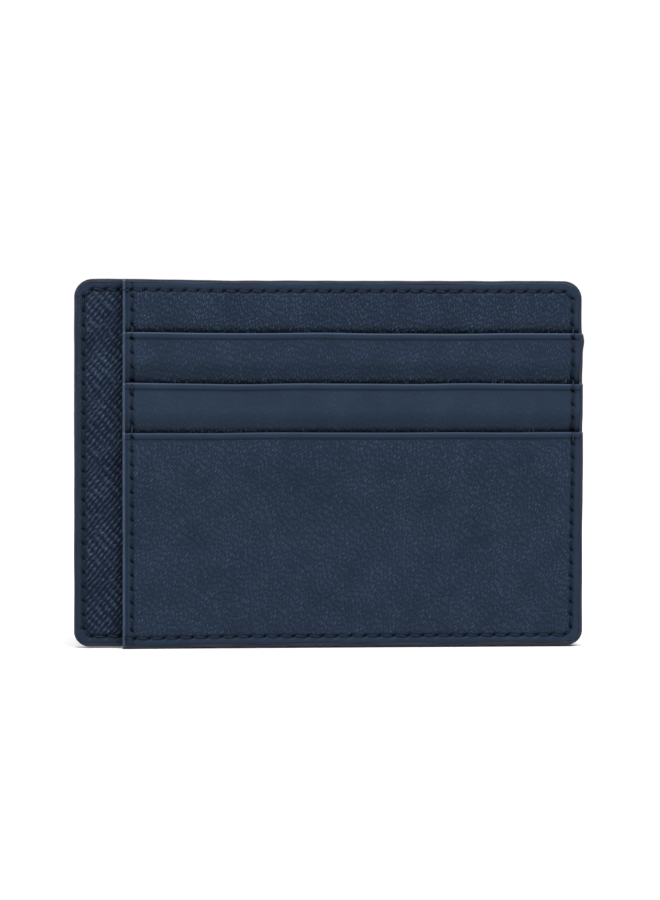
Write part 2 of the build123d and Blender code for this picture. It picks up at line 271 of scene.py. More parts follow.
def link_shader(tree, shader, outputs):
    """Links node outputs to the shader's inputs of the same names."""
    for key, output in outputs.items():
        tree.links.new(output, shader.inputs[key])


def cross_grain_leather(
    name, lean, cell, uneven, relief_mm, contrast, seed, order=0.0, crossing=0.4
):
    """Cross-grain embossed calf leather in a navy dye, lightly finished.

    A heated plate presses slanting grooves into it, crossed by finer ones. The lozenges between
    them catch the light along their upper sides, so it reads as fine slanting hatching. Where the
    edges and folds were pressed again, the grain is nearly gone. Lean is the ridges' angle in
    degrees, cell the length and width of a lozenge, uneven how irregular the lozenges are, and
    order how far straight grooves take over from them.
    """
    material, tree, shader = new_material(name)
    place = add(tree, "ShaderNodeTexCoord").outputs["Object"]
    mapped = add(
        tree,
        "ShaderNodeMapping",
        {
            "Vector": place,
            "Scale": (1000, 1000, 1000),
            "Rotation": (math.radians(-90.0), 0, 0),
            "Location": (seed * 13.7, seed * 7.3, 0),
        },
    ).outputs[0]
    drift = add(tree, "ShaderNodeTexNoise", {"Vector": mapped, "Scale": 0.3, "Detail": 2.0})
    offset = add(
        tree, "ShaderNodeVectorMath", {0: drift.outputs["Color"], 1: (0.5, 0.5, 0.5)}, operation="SUBTRACT"
    )
    pushed = add(tree, "ShaderNodeVectorMath", {0: offset.outputs[0], "Scale": 0.7}, operation="SCALE")
    moved = add(tree, "ShaderNodeVectorMath", {0: mapped, 1: pushed.outputs[0]}, operation="ADD")
    heights = []
    # lozenges along the plate's main grooves, and a set that crosses them
    length, width = cell
    crossing_cell = (width, length, 1.0) if order else (1.2 * length, 1.3 * width, 1.0)
    for angle, size in ((lean, (length, width, 1.0)), (lean + 80.0, crossing_cell)):
        turned = add(
            tree,
            "ShaderNodeMapping",
            {"Vector": moved.outputs[0], "Rotation": (0, 0, -math.radians(angle))},
        )
        cells = add(
            tree, "ShaderNodeMapping", {"Vector": turned.outputs[0], "Scale": tuple(1 / s for s in size)}
        )
        edges = add(
            tree,
            "ShaderNodeTexVoronoi",
            {"Vector": cells.outputs[0], "Scale": 1.0, "Randomness": uneven},
            feature="DISTANCE_TO_EDGE",
            voronoi_dimensions="2D",
        )
        distance = edges.outputs["Distance"]
        if order:
            # straight ridges, in step with the rows of lozenges
            across = add(tree, "ShaderNodeSeparateXYZ", {0: cells.outputs[0]}).outputs["Y"]
            across = add(tree, "ShaderNodeMath", {0: across, 1: 0.5}, operation="ADD").outputs[0]
            straight = add(
                tree, "ShaderNodeMath", {0: across, 1: 0.5}, operation="PINGPONG"
            ).outputs[0]
            distance = add(tree, "ShaderNodeMix", {0: order, 2: distance, 3: straight}).outputs[0]
        heights.append(
            add(
                tree,
                "ShaderNodeMapRange",
                {"Value": distance, "From Min": 0.02, "From Max": 0.48},
                interpolation_type="SMOOTHSTEP",
            ).outputs[0]
        )
        if angle == lean:
            lozenge = add(
                tree,
                "ShaderNodeTexVoronoi",
                {"Vector": cells.outputs[0], "Scale": 1.0, "Randomness": uneven},
                voronoi_dimensions="2D",
            )
            # each lozenge stands a little higher or lower than the next
            stand = add(
                tree,
                "ShaderNodeMapRange",
                {"Value": lozenge.outputs["Color"], "To Min": 0.45, "To Max": 1.35},
            ).outputs[0]
    single = add(tree, "ShaderNodeMath", {0: heights[0], 1: stand}, operation="MULTIPLY").outputs[0]
    crossed = add(tree, "ShaderNodeMath", {0: single, 1: heights[1]}, operation="MULTIPLY").outputs[0]
    both = add(tree, "ShaderNodeMix", {0: crossing, 2: single, 3: crossed}).outputs[0]
    pores = add(tree, "ShaderNodeTexNoise", {"Vector": mapped, "Scale": 3.5, "Detail": 3.0})
    patches = add(tree, "ShaderNodeTexNoise", {"Vector": mapped, "Scale": 0.16, "Detail": 3.0})
    # the plate bites harder in some places than in others, and less beside seams and folds
    bite = add(
        tree,
        "ShaderNodeMapRange",
        {"Value": patches.outputs["Fac"], "From Min": 0.3, "From Max": 0.7, "To Min": 0.6, "To Max": 1.15},
    ).outputs[0]
    kept = add(tree, "ShaderNodeAttribute", attribute_name="grain").outputs["Fac"]
    bite = add(tree, "ShaderNodeMath", {0: bite, 1: kept}, operation="MULTIPLY").outputs[0]
    pressed = add(tree, "ShaderNodeMath", {0: both, 1: bite}, operation="MULTIPLY").outputs[0]
    relief = add(
        tree, "ShaderNodeMath", {0: pores.outputs["Fac"], 1: 0.2, 2: pressed}, operation="MULTIPLY_ADD"
    ).outputs[0]
    bump = add(
        tree, "ShaderNodeBump", {"Height": relief, "Strength": 1.0, "Distance": relief_mm * MILLI}
    )
    # darker in the grooves and paler on the ridges: partly the dye, which pools in the grooves and is rubbed
    # thin on the ridges, and partly painted shade in the grooves and painted glints on the ridges; flat
    # places lie between
    flat_level = 0.36
    level = add(tree, "ShaderNodeMix", {0: kept, 2: flat_level, 3: relief}).outputs[0]
    tone = add(
        tree,
        "ShaderNodeMapRange",
        {
            "Value": level,
            "From Min": flat_level - 0.4,
            "From Max": flat_level + 0.4,
            "To Min": flat_level - contrast,
            "To Max": flat_level + contrast,
        },
    ).outputs[0]
    worn = add(
        tree, "ShaderNodeMapRange", {"Value": patches.outputs["Fac"], "To Min": -0.08, "To Max": 0.08}
    ).outputs[0]
    tone = add(tree, "ShaderNodeMath", {0: tone, 1: worn}, operation="ADD").outputs[0]
    dye_and_glints = add(
        tree, "ShaderNodeMix", {0: tone, 6: linear("#01061A"), 7: linear("#354556")}, data_type="RGBA"
    ).outputs[2]
    # painted highlight: a paler line along the top of each turned fold, where the round fold would catch
    # light from above
    fold = add(tree, "ShaderNodeAttribute", attribute_name="fold").outputs["Fac"]
    dye_and_glints = add(tree, "ShaderNodeMix", {0: fold, 6: dye_and_glints, 7: linear("#3C4858")}, data_type="RGBA").outputs[2]
    # painted shade: creases, slots and the strip beside the pocket group are darkened, most of all in the
    # grain's grooves
    shade = add(tree, "ShaderNodeAttribute", attribute_name="painted_shade").outputs["Fac"]
    groove = add(
        tree, "ShaderNodeMath", {0: level, 1: -1.7, 2: 1.5}, operation="MULTIPLY_ADD"
    ).outputs[0]
    shade = add(tree, "ShaderNodeMath", {0: shade, 1: groove}, operation="MULTIPLY").outputs[0]
    # painted shade in the needle slits and along the seams' grooves, mixed to the same near-black
    hole = add(tree, "ShaderNodeAttribute", attribute_name="slit_and_seam_shade").outputs["Fac"]
    dark = add(
        tree, "ShaderNodeMath", {0: shade, 1: hole}, operation="ADD", use_clamp=True
    ).outputs[0]
    colour = add(tree, "ShaderNodeMix", {0: dark, 6: dye_and_glints, 7: linear("#020610")}, data_type="RGBA").outputs[2]
    rough = add(
        tree,
        "ShaderNodeMapRange",
        {"Value": level, "From Min": 0.0, "From Max": 1.0, "To Min": 0.58, "To Max": 0.34},
    ).outputs[0]
    link_shader(tree, shader, {"Base Color": colour, "Roughness": rough, "Normal": bump.outputs[0]})
    shader.inputs["IOR"].default_value = 1.47
    shader.inputs["Specular IOR Level"].default_value = 0.07
    return material


def trimmed(x, z, group):
    """The holder isn't cut quite square: it is a little taller at its left end.

    It stands on the pocket group's left corner. Its foot clears the table everywhere else.
    """
    foot = smooth(mouth_x, mouth_x + 24.0, x) if group else 1.0
    z = z + (0.12 + 0.33 * foot) * (1.0 - smooth(0.0, 14.0, z))
    left_end = 1.0 - smooth(-46.0, -16.0, x)
    return z + 0.36 * left_end * smooth(40.0, height, z)


def margin_grain(x, z):
    """How much of the embossing is left: little of it between the seam and the edge."""
    inside = np.minimum(half_width - np.abs(x), np.minimum(z, height - z))
    return 0.25 + 0.75 * smooth(seam_inset - 0.2, seam_inset + 0.5, inside)


def flat_panel(name, front, back, columns, rows, seen_front, material):
    """A full-size panel, closed all round, with its relief on the side that is seen."""
    hidden = np.linspace(film, height - film, 14)
    x = np.repeat(columns[:, None], len(rows) + len(hidden), axis=1)
    z = np.broadcast_to(np.concatenate([rows, hidden[::-1]]), x.shape).copy()
    seen = np.concatenate([np.ones(len(rows)), np.zeros(len(hidden))])[None, :]
    sink, mask = sewn_relief(x, z)
    sink = sink + edge_relief(x, z, -half_width + film) + 0.05 * undulation(x, z, 26.0, 3)
    mask = mask * seen
    grain = margin_grain(x, z)
    # painted shade: the strip is darkest right beside the pocket group, which stands proud of it
    painted_shade = 0.6 * np.exp(-np.clip(mouth_x - x, 0.0, None) / 1.1) * (1.0 if seen_front else 0.0)
    outer, inner, sign = (front, back, 1.0) if seen_front else (back, front, -1.0)
    depth = np.where(seen > 0, outer + sign * sink, inner)
    x, z = rounded(x, z, film, True)
    points = np.stack([x, depth, trimmed(x, z, False)], axis=2).reshape(-1, 3)
    values = {"slit_and_seam_shade": mask.reshape(-1), "grain": grain.reshape(-1), "painted_shade": painted_shade.reshape(-1)}
    return mesh_piece(name, points, loft_faces(*x.shape), material, values)


seam_columns = (-seam_x, seam_x, -half_width, half_width)
seam_rows = (seam_inset, seam_top, 0.0, height)
back_leather = cross_grain_leather(
    "cross_grain_leather_back",
    lean=52.0,
    cell=(1.3, 0.5),
    uneven=0.85,
    relief_mm=0.11,
    contrast=0.22,
    seed=1,
)
panel_step = 0.5
seam_step = 0.2
rear_piece = flat_panel(
    "rear_panel_leather",
    rear_face + rear_thickness,
    rear_face,
    graded(-half_width + film, half_width - film, panel_step, seam_step, seam_columns),
    graded(film, height - film, panel_step, seam_step, seam_rows),
    False,
    back_leather,
)
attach(rear_piece, "root")
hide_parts("rear_panel")

# ---------------------------------------------------------------------------------------------
# Rear board. Ground leather fibre bonded with latex and rolled to 0.4 mm, cut to the outline and
# glued between the two full-size panels to stiffen them. It is hidden, and keeps the CAD shape.


def bonded_fibre_board(name):
    """Rolled leather-fibre board: matte, brown, with short fibres lying every way."""
    material, tree, shader = new_material(name)
    place = add(tree, "ShaderNodeTexCoord").outputs["Object"]
    mapped = add(tree, "ShaderNodeMapping", {"Vector": place, "Scale": (1000, 1000, 1000)}).outputs[0]
    fibres = add(
        tree, "ShaderNodeTexNoise", {"Vector": mapped, "Scale": 2.4, "Detail": 6.0, "Distortion": 1.6}
    )
    colour = add(
        tree,
        "ShaderNodeMix",
        {0: fibres.outputs["Fac"], 6: linear("#6E5B46"), 7: linear("#A08B6E")},
        data_type="RGBA",
    )
    bump = add(
        tree,
        "ShaderNodeBump",
        {"Height": fibres.outputs["Fac"], "Strength": 0.6, "Distance": 0.04 * MILLI},
    )
    link_shader(tree, shader, {"Base Color": colour.outputs[2], "Normal": bump.outputs[0]})
    shader.inputs["Roughness"].default_value = 0.85
    return material


def dress(node, material):
    """Gives a node of the frame its finish."""
    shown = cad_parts[node]
    shown.data.materials.clear()
    shown.data.materials.append(material)


dress("rear_board", bonded_fibre_board("bonded_fibre_board"))

# ---------------------------------------------------------------------------------------------
# Inner panel. The same leather as the back, full size, face outwards. Only its left 10 mm shows,
# as the bare strip beside the pockets; the rest is the back wall of the side pocket.

# cards and fingers rub the strip less, so its embossing is the sharpest and most regular; its ridges also get
# the strongest painted glints, and its grooves the strongest painted shade
strip_leather = cross_grain_leather(
    "cross_grain_leather_strip",
    lean=50.0,
    cell=(1.5, 0.84),
    uneven=0.6,
    relief_mm=0.46,
    contrast=0.48,
    seed=2,
    order=0.6,
    crossing=0.8,
)
board_low, board_high = box_mm("rear_board")
board_thickness = board_high.y - board_low.y
hidden_columns = np.linspace(mouth_x + 3.0, half_width - film, 16)
strip_columns = graded(-half_width + film, mouth_x + 2.4, 0.28, 0.16, (-seam_x, -half_width))
inner_piece = flat_panel(
    "inner_panel_leather",
    0.0,
    rear_face + rear_thickness + board_thickness,
    np.concatenate([strip_columns, hidden_columns]),
    graded(film, height - film, 0.3, 0.16, seam_rows),
    True,
    strip_leather,
)
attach(inner_piece, "root")
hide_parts("inner_panel")

# ---------------------------------------------------------------------------------------------
# Linings. Thin woven polyester, 0.15 to 0.25 mm: the front wall of the side pocket, the back of
# the card slots, and one for each pocket front. Each is flat, hidden, and keeps the CAD shape.


def woven_cloth(name, thread_mm, low, high):
    """Plain close-woven cloth: crossing threads with a dull sheen.

    The real threads are about 0.1 mm apart. They are drawn about 0.3 mm apart so that they show.
    """
    material, tree, shader = new_material(name)
    place = add(tree, "ShaderNodeTexCoord").outputs["Object"]
    mapped = add(tree, "ShaderNodeMapping", {"Vector": place, "Scale": (1000, 1000, 1000)}).outputs[0]
    waves = []
    # a wave texture repeats every pi / 10 / scale
    for direction in ("X", "Z"):
        waves.append(
            add(
                tree,
                "ShaderNodeTexWave",
                {"Vector": mapped, "Scale": math.pi / 10 / thread_mm, "Distortion": 0.6, "Detail": 1.0},
                wave_type="BANDS",
                bands_direction=direction,
            ).outputs["Fac"]
        )
    weave = add(tree, "ShaderNodeMath", {0: waves[0], 1: waves[1]}, operation="MAXIMUM").outputs[0]
    colour = add(
        tree, "ShaderNodeMix", {0: weave, 6: linear(low), 7: linear(high)}, data_type="RGBA"
    )
    bump = add(
        tree, "ShaderNodeBump", {"Height": weave, "Strength": 0.7, "Distance": 0.03 * MILLI}
    )
    link_shader(tree, shader, {"Base Color": colour.outputs[2], "Normal": bump.outputs[0]})
    shader.inputs["Roughness"].default_value = 0.7
    shader.inputs["Sheen Weight"].default_value = 0.25
    return material


lining_cloth = woven_cloth("woven_lining_cloth", 0.3, "#161E2B", "#2C394C")
for lining in ("side_pocket", "slot_back", "upper_pocket", "middle_pocket", "front_pocket"):
    dress(lining + "_lining", lining_cloth)

# ---------------------------------------------------------------------------------------------
# Hem tapes. Off-white woven tape, 5 mm wide, glued along each pocket's edge before the leather
# is turned over it, so that the edge doesn't stretch. Hidden, and keeps the CAD shape.

hem_tape = woven_cloth("woven_hem_tape", 0.35, "#B9B4A8", "#E2DED4")
for tape in ("upper_pocket_tape", "middle_pocket_tape", "front_pocket_tape"):
    dress(tape, hem_tape)

# ---------------------------------------------------------------------------------------------
# Top band. A 14.5 mm strip of the same leather, 0.7 mm thick, glued along the top of the pocket
# group. It is the wall behind the upper slot. Its left end is cut flush with the group's edge.

mouth_seam_x = mouth_x + 1.85
mouth_crease = 0.85  # a line pressed beside the painted edge
mouth_holes = np.array([(mouth_seam_x, z) for z in row(row_low, row_high, 2.8)])
mouth_corners = np.array([(mouth_seam_x, film), (mouth_seam_x, height - film)])
group_left = mouth_x + film
pocket_thickness = 0.7
slot_dip = 0.3
crease_drop = 1.3
hem_tops = {}
hem_fronts = {}
for pocket in ("upper", "middle", "front"):
    leather_low, leather_high = box_mm(pocket + "_pocket_leather")
    hem_tops[pocket] = leather_high.z
    hem_fronts[pocket] = face_y - leather_low.y
no_hem = -9.0  # a place for the hem below that is out of reach
group_columns = graded(
    group_left, half_width - film, 0.34, 0.13, (mouth_x + 0.6, mouth_seam_x, seam_x, half_width)
)


def group_relief(x, z):
    """Relief of the pocket group's face: both seams, the pressed line and the rolled edges."""
    sink, mask = sewn_relief(x, z)
    mouth_mask = slit_mask(x, z, mouth_holes, False)
    groove = ridge(line_distance(x, z, mouth_corners, False), 0.42)
    sink = sink - seam_sink * groove - slit_sink * mouth_mask
    # painted shade along the mouth seam's groove and in its slits
    mouth_mask = np.maximum(mouth_mask, 0.4 * groove)
    sink = sink - 0.1 * ridge(x - mouth_x - mouth_crease, 0.16)
    sink = sink + edge_relief(x, z, group_left)
    return sink + 0.06 * undulation(x, z, 24.0, 11), np.maximum(mask, mouth_mask)


band_low = box_mm("top_band")[0]
band_front = face_y - band_low.y


def group_piece(
    name, ring_z, ring_depth, relief_share, material, hem_top=None, hem_below=no_hem, fold_highlight=0.0
):
    """A leather of the pocket group: one profile all along X, with relief where it is seen."""
    x = np.repeat(group_columns[:, None], len(ring_z), axis=1)
    z = np.broadcast_to(ring_z, x.shape).copy()
    sink, mask = group_relief(x, z)
    grain = margin_grain(x, z) * (0.12 + 0.88 * smooth(1.7, 2.3, x - mouth_x))
    # it bends back into the slot over the last millimetres above the next hem
    above = np.clip(z - hem_below, 0.0, None)
    sink = sink - slot_dip * np.exp(-above / 1.5)
    # painted shade in the slot just above the next hem
    painted_shade = 0.82 * (1.0 - smooth(0.1, 1.5, above))
    # painted shade in the pressed line beside the painted edge
    painted_shade = np.maximum(painted_shade, 0.4 * ridge(x - mouth_x - mouth_crease, 0.26))
    fold = 0.0 * z
    if hem_top is not None:
        grain = grain * (0.1 + 0.9 * smooth(0.9, 2.2, hem_top - z))
        # painted shade in the creased line under the fold
        painted_shade = np.maximum(painted_shade, 0.6 * ridge(hem_top - crease_drop - z, 0.34))
        # painted highlight along the fold's top, strongest on the upper hem
        fold = fold_highlight * ridge(hem_top - 0.1 - z, 0.17)
        fold = fold * smooth(mouth_x + 0.5, mouth_x + 1.2, x) * (1.0 - smooth(seam_x - 0.6, seam_x, x))
    depth = ring_depth[None, :] + relief_share[None, :] * sink
    if hem_top is not None:
        # the turned edge isn't quite straight, and its end stands out a little at the right
        near = smooth(hem_top - 7.0, hem_top - 1.0, z)
        z = z + 0.09 * near * undulation(x, z * 0.0, 22.0, round(hem_top))
    x, z = rounded(x, z, film, False)
    points = np.stack([x, depth, trimmed(x, z, True)], axis=2).reshape(-1, 3)
    values = {
        "slit_and_seam_shade": (mask * relief_share[None, :]).reshape(-1),
        "grain": grain.reshape(-1),
        "painted_shade": painted_shade.reshape(-1),
        "fold": fold.reshape(-1),
    }
    return mesh_piece(name, points, loft_faces(*x.shape), material, values)


band_rows = graded(band_low.z, height - film, 0.3, 0.15, (seam_top, height))
band_back_rows = np.linspace(height - film, band_low.z, 6)
band_back = band_front - pocket_thickness
band_leather = cross_grain_leather(
    "cross_grain_leather_band",
    lean=66.0,
    cell=(1.2, 0.42),
    uneven=0.95,
    relief_mm=0.14,
    contrast=0.26,
    seed=3,
)
band_piece = group_piece(
    "top_band_leather",
    np.concatenate([band_rows, band_back_rows]),
    np.concatenate([np.full_like(band_rows, band_front), np.full_like(band_back_rows, band_back)]),
    np.concatenate([np.ones_like(band_rows), np.zeros_like(band_back_rows)]),
    band_leather,
    hem_below=hem_tops["upper"],
)
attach(band_piece, "root")
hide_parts("top_band")

# ---------------------------------------------------------------------------------------------
# Pocket fronts. Three strips of the same leather, each with its top edge skived to 0.35 mm, turned
# over its tape and pressed, so a round fold stands 1.3 mm proud of the layer below. A line is
# creased with a hot iron 1.3 mm under each fold.

hem_height = 6.0
hem_thickness = 1.3
skived = 0.35
hollow_top = 0.7
fold_radius = 0.4
rear_radius = 0.3
body_fronts = {
    "upper": hem_fronts["middle"] - hem_thickness + 0.25,
    "middle": hem_fronts["front"] - hem_thickness + 0.25,
    "front": hem_fronts["front"] - 1.2,
}
leather_bottoms = {"upper": 49.0, "middle": 39.2, "front": film}
drapes = {"upper": (53.9, 57.6), "middle": (43.9, 47.5), "front": (20.0, 39.5)}


def pocket_front(pocket, z):
    """Depth of a pocket's face at a height, before its relief."""
    low, high = drapes[pocket]
    body = body_fronts[pocket]
    depth = body + (hem_fronts[pocket] - body) * smooth(low, high, z)
    return depth - 0.09 * ridge(hem_tops[pocket] - crease_drop - z, 0.24)


def pocket_piece(pocket, fold_highlight, material):
    """A pocket front with its turned hem, as one closed sheet."""
    top, front = hem_tops[pocket], hem_fronts[pocket]
    back = front - hem_thickness
    bottom = leather_bottoms[pocket]
    lines = (top, top - crease_drop, seam_inset, 0.0)
    rows = graded(bottom, top - fold_radius, 0.3, 0.13, lines, 0.9)
    turns = np.radians(np.linspace(12, 90, 6))
    rear_turns = np.radians(np.linspace(10, 90, 5))
    turned_end = top - hem_height
    hollow = top - hollow_top
    inner = np.linspace(turned_end, bottom, 10)
    # up the face, over the fold, down behind it, round the skived end and down the flesh side
    z = [
        rows,
        top - fold_radius * (1 - np.sin(turns)),
        top - rear_radius * (1 - np.cos(rear_turns)),
        [top - 3.0, turned_end, turned_end, hollow, hollow],
        inner,
    ]
    depth = [
        pocket_front(pocket, rows),
        front - fold_radius * (1 - np.cos(turns)),
        back + rear_radius * (1 - np.sin(rear_turns)),
        [back, back, back + skived, back + skived, front - pocket_thickness],
        pocket_front(pocket, inner) - pocket_thickness,
    ]
    seen = [np.ones_like(rows), np.cos(turns) ** 2]
    unseen = [np.zeros_like(rear_turns), [0.0] * 5, np.zeros_like(inner)]
    ring = (np.concatenate(z), np.concatenate(depth), np.concatenate(seen + unseen))
    below = {"upper": hem_tops["middle"], "middle": hem_tops["front"], "front": no_hem}[pocket]
    piece = group_piece(pocket + "_pocket_front", *ring, material, top, below, fold_highlight)
    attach(piece, "root")
    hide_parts(pocket + "_pocket_leather")


upper_leather = cross_grain_leather(
    "cross_grain_leather_upper",
    lean=76.0,
    cell=(1.2, 0.42),
    uneven=0.95,
    relief_mm=0.11,
    contrast=0.19,
    seed=4,
)
# the middle strip comes from a place where the plate hardly bit
middle_leather = cross_grain_leather(
    "cross_grain_leather_middle",
    lean=76.0,
    cell=(1.2, 0.42),
    uneven=0.95,
    relief_mm=0.03,
    contrast=0.06,
    seed=5,
)
front_leather = cross_grain_leather(
    "cross_grain_leather_front",
    lean=56.0,
    cell=(1.25, 0.44),
    uneven=0.95,
    relief_mm=0.13,
    contrast=0.22,
    seed=6,
)
pocket_piece("upper", fold_highlight=0.5, material=upper_leather)
pocket_piece("middle", fold_highlight=0.35, material=middle_leather)
pocket_piece("front", fold_highlight=0.15, material=front_leather)


def face_depth(x, z):
    """Depth of the assembled front face at any place, before its relief."""
    x, z = np.asarray(x, float), np.asarray(z, float)
    depth = np.full(np.shape(x), band_front)
    for pocket in ("upper", "middle", "front"):
        top = hem_tops[pocket]
        fold = np.clip((z - top + fold_radius) / fold_radius, 0.0, 1.0)
        here = pocket_front(pocket, z) - fold_radius * (1.0 - np.sqrt(1.0 - fold**2))
        depth = np.where(z <= top, here, depth)
    return np.where(x >= mouth_x, depth, 0.0)


# ---------------------------------------------------------------------------------------------
# Hidden lining seams. Two rows of navy thread sew the lower ends of the upper two linings to the
# slot's back, which closes those slots at the bottom. They keep the CAD shape.


def twisted_thread(name, low, high):
    """Bonded polyester sewing thread: two plies twisted hard, with a soft dull shine."""
    material, tree, shader = new_material(name)
    place = add(tree, "ShaderNodeTexCoord").outputs["Object"]
    mapped = add(tree, "ShaderNodeMapping", {"Vector": place, "Scale": (1000, 1000, 1000)}).outputs[0]
    fibre = add(tree, "ShaderNodeTexNoise", {"Vector": mapped, "Scale": 7.0, "Detail": 3.0})
    colour = add(
        tree,
        "ShaderNodeMix",
        {0: fibre.outputs["Fac"], 6: linear(low), 7: linear(high)},
        data_type="RGBA",
    )
    bump = add(
        tree,
        "ShaderNodeBump",
        {"Height": fibre.outputs["Fac"], "Strength": 0.8, "Distance": 0.03 * MILLI},
    )
    link_shader(tree, shader, {"Base Color": colour.outputs[2], "Normal": bump.outputs[0]})
    shader.inputs["Roughness"].default_value = 0.55
    shader.inputs["Specular IOR Level"].default_value = 0.12
    return material


navy_thread = twisted_thread("twisted_navy_thread", "#050B16", "#162437")
for seam in ("upper_lining_seam_thread", "middle_lining_seam_thread"):
    dress(seam, navy_thread)

# ---------------------------------------------------------------------------------------------
# Edge paint. The stacked cut edges are sanded flush and get several coats of flexible paint, which
# dries as a domed satin film that laps a little onto both faces. The joints of the layers still
# show through as faint lines.


layer_mm = 0.8


def edge_paint(name, low, high):
    """Flexible edge paint: a satin rubbery film, brushed on in coats and rubbed between them."""
    material, tree, shader = new_material(name)
    place = add(tree, "ShaderNodeTexCoord").outputs["Object"]
    mapped = add(tree, "ShaderNodeMapping", {"Vector": place, "Scale": (1000, 1000, 1000)}).outputs[0]
    coats = add(tree, "ShaderNodeTexNoise", {"Vector": mapped, "Scale": 0.9, "Detail": 4.0})
    layers = add(
        tree,
        "ShaderNodeTexWave",
        {"Vector": mapped, "Scale": math.pi / 10 / layer_mm, "Distortion": 0.7, "Detail": 2.0},
        wave_type="BANDS",
        bands_direction="Y",
    )
    relief = add(
        tree,
        "ShaderNodeMath",
        {0: layers.outputs["Fac"], 1: 0.5, 2: coats.outputs["Fac"]},
        operation="MULTIPLY_ADD",
    ).outputs[0]
    colour = add(
        tree,
        "ShaderNodeMix",
        {0: coats.outputs["Fac"], 6: linear(low), 7: linear(high)},
        data_type="RGBA",
    )
    bump = add(
        tree, "ShaderNodeBump", {"Height": relief, "Strength": 0.6, "Distance": 0.1 * MILLI}
    )
    rough = add(
        tree,
        "ShaderNodeMapRange",
        {"Value": coats.outputs["Fac"], "From Min": 0.3, "From Max": 0.7, "To Min": 0.36, "To Max": 0.5},
    )
    link_shader(
        tree,
        shader,
        {"Base Color": colour.outputs[2], "Roughness": rough.outputs[0], "Normal": bump.outputs[0]},
    )
    shader.inputs["Specular IOR Level"].default_value = 0.3
    return material


navy_paint = edge_paint("flexible_navy_edge_paint", "#10151F", "#1F2534")


def outline_path():
    """Points round the outline with their outward directions, clockwise from the top left."""
    spots = []
    centres = (
        (-1, 1, top_radius, 180.0, 90.0),
        (1, 1, top_radius, 90.0, 0.0),
        (1, -1, bottom_radius, 0.0, -90.0),
        (-1, -1, bottom_radius, -90.0, -180.0),
    )
    for side, up, radius, start, end in centres:
        centre_x = side * (half_width - radius)
        centre_z = height - radius if up > 0 else radius
        for angle in np.radians(np.linspace(start, end, 15)):
            ux, uz = math.cos(angle), math.sin(angle)
            spots.append((centre_x + radius * ux, centre_z + radius * uz, ux, uz))
    dense = []
    for spot, after in zip(spots, spots[1:] + spots[:1]):
        dense.append(spot)
        length = math.hypot(after[0] - spot[0], after[1] - spot[1])
        if length < 10.0:
            continue
        horizontal = abs(after[0] - spot[0]) > abs(after[1] - spot[1])
        first, last = (spot[0], after[0]) if horizontal else (spot[1], after[1])
        low, high = sorted((first, last))
        # closer together where the front steps: at the group's edge and at each hem
        hems = tuple(hem_tops.values()) if spot[0] > 0 else ()
        lines = (mouth_x,) if horizontal else hems
        places = graded(low, high, 0.8, 0.1, lines, 0.7)[1:-1]
        for place in places if first < last else places[::-1]:
            x, z = (place, spot[1]) if horizontal else (spot[0], place)
            dense.append((x, z, spot[2], spot[3]))
    return np.array(dense)


lip = 0.34
path = outline_path()
edge_x, edge_z, out_x, out_z = path.T
# where the face behind the paint lies, a little inside the edge
beside_x = np.where(edge_x < 0, edge_x, edge_x - out_x)
beside_z = np.clip(edge_z - 0.3 * out_z, film, height - film)
front_at = face_depth(beside_x, beside_z)
hand = 0.03 * undulation(edge_x, edge_z, 9.0, 21)
# a blob of paint beside the upper hem
swell = 0.3 * ridge(edge_z - (hem_tops["upper"] - 1.6), 1.3) * (out_x > 0.9)
# once round the film, from its lip on the back: how far out, the share of the way from the back
# to the front, and a shift forwards
paint_section = (
    (-lip, 0.0, 0.0),
    (-0.12, 0.0, -0.05),
    (0.1, 0.0, 0.0),
    (0.22, 0.0, 0.16),
    (0.3, 0.0, 0.5),
    (0.34, 0.35, 0.4025),
    (0.36, 0.5, 0.5),
    (0.34, 1.0, -0.5),
    (0.22, 1.0, -0.18),
    (0.1, 1.0, -0.24),
    (-0.12, 1.0, -0.2),
    (-lip, 1.0, -0.02),
    (-lip, 1.0, -0.4),
    (-lip, 0.0, 0.4),
)
ring = []
for outward, share, shift in paint_section:
    out = outward - film + (hand + swell if outward > 0 else 0.0)
    depth = rear_face + share * (front_at - rear_face) + shift
    x = edge_x + out * out_x
    z = edge_z + out * out_z
    group = (depth > 0.1) & (edge_x >= mouth_x)
    z = np.where(group, trimmed(x, z, True), trimmed(x, z, False))
    ring.append(np.stack([x, depth, z], axis=1))
points = np.stack(ring, axis=1)
paint_piece = mesh_piece(
    "perimeter_edge_paint", points.reshape(-1, 3), loft_faces(len(path), len(ring), True), navy_paint
)
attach(paint_piece, "root")
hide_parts("perimeter_edge_coat")

# The open left edge of the pocket group is painted in the same way, before it is sewn on.
# its colours are lighter than the perimeter paint's: a painted highlight along the rounded edge
mouth_paint = edge_paint("flexible_navy_mouth_paint_with_painted_highlight", "#1F2B3C", "#303E52")
mouth_places = graded(0.02, height - 0.02, 0.6, 0.1, tuple(hem_tops.values()), 0.8)
mouth_front = face_depth(np.full(len(mouth_places), mouth_x + 1.0), mouth_places)
mouth_hand = 0.03 * undulation(mouth_places, mouth_places * 0.0, 6.0, 31)
lining_back = face_y - mouth_high.y
mouth_section = (
    (0.5, 0.0, 0.0),
    (0.2, 0.0, 0.0),
    (0.04, 0.0, 0.12),
    (-0.03, 0.0, 0.35),
    (-0.05, 1.0, -0.5),
    (-0.02, 1.0, -0.26),
    (0.1, 1.0, -0.1),
    (0.26, 1.0, -0.05),
    (0.42, 1.0, -0.07),
    (0.5, 1.0, -0.2),
)
ring = []
for inward, share, shift in mouth_section:
    x = mouth_x + inward + (mouth_hand if inward < 0.2 else 0.0 * mouth_hand)
    depth = lining_back + share * (mouth_front - lining_back) + shift
    ring.append(np.stack([x, depth, trimmed(x, mouth_places, True)], axis=1))
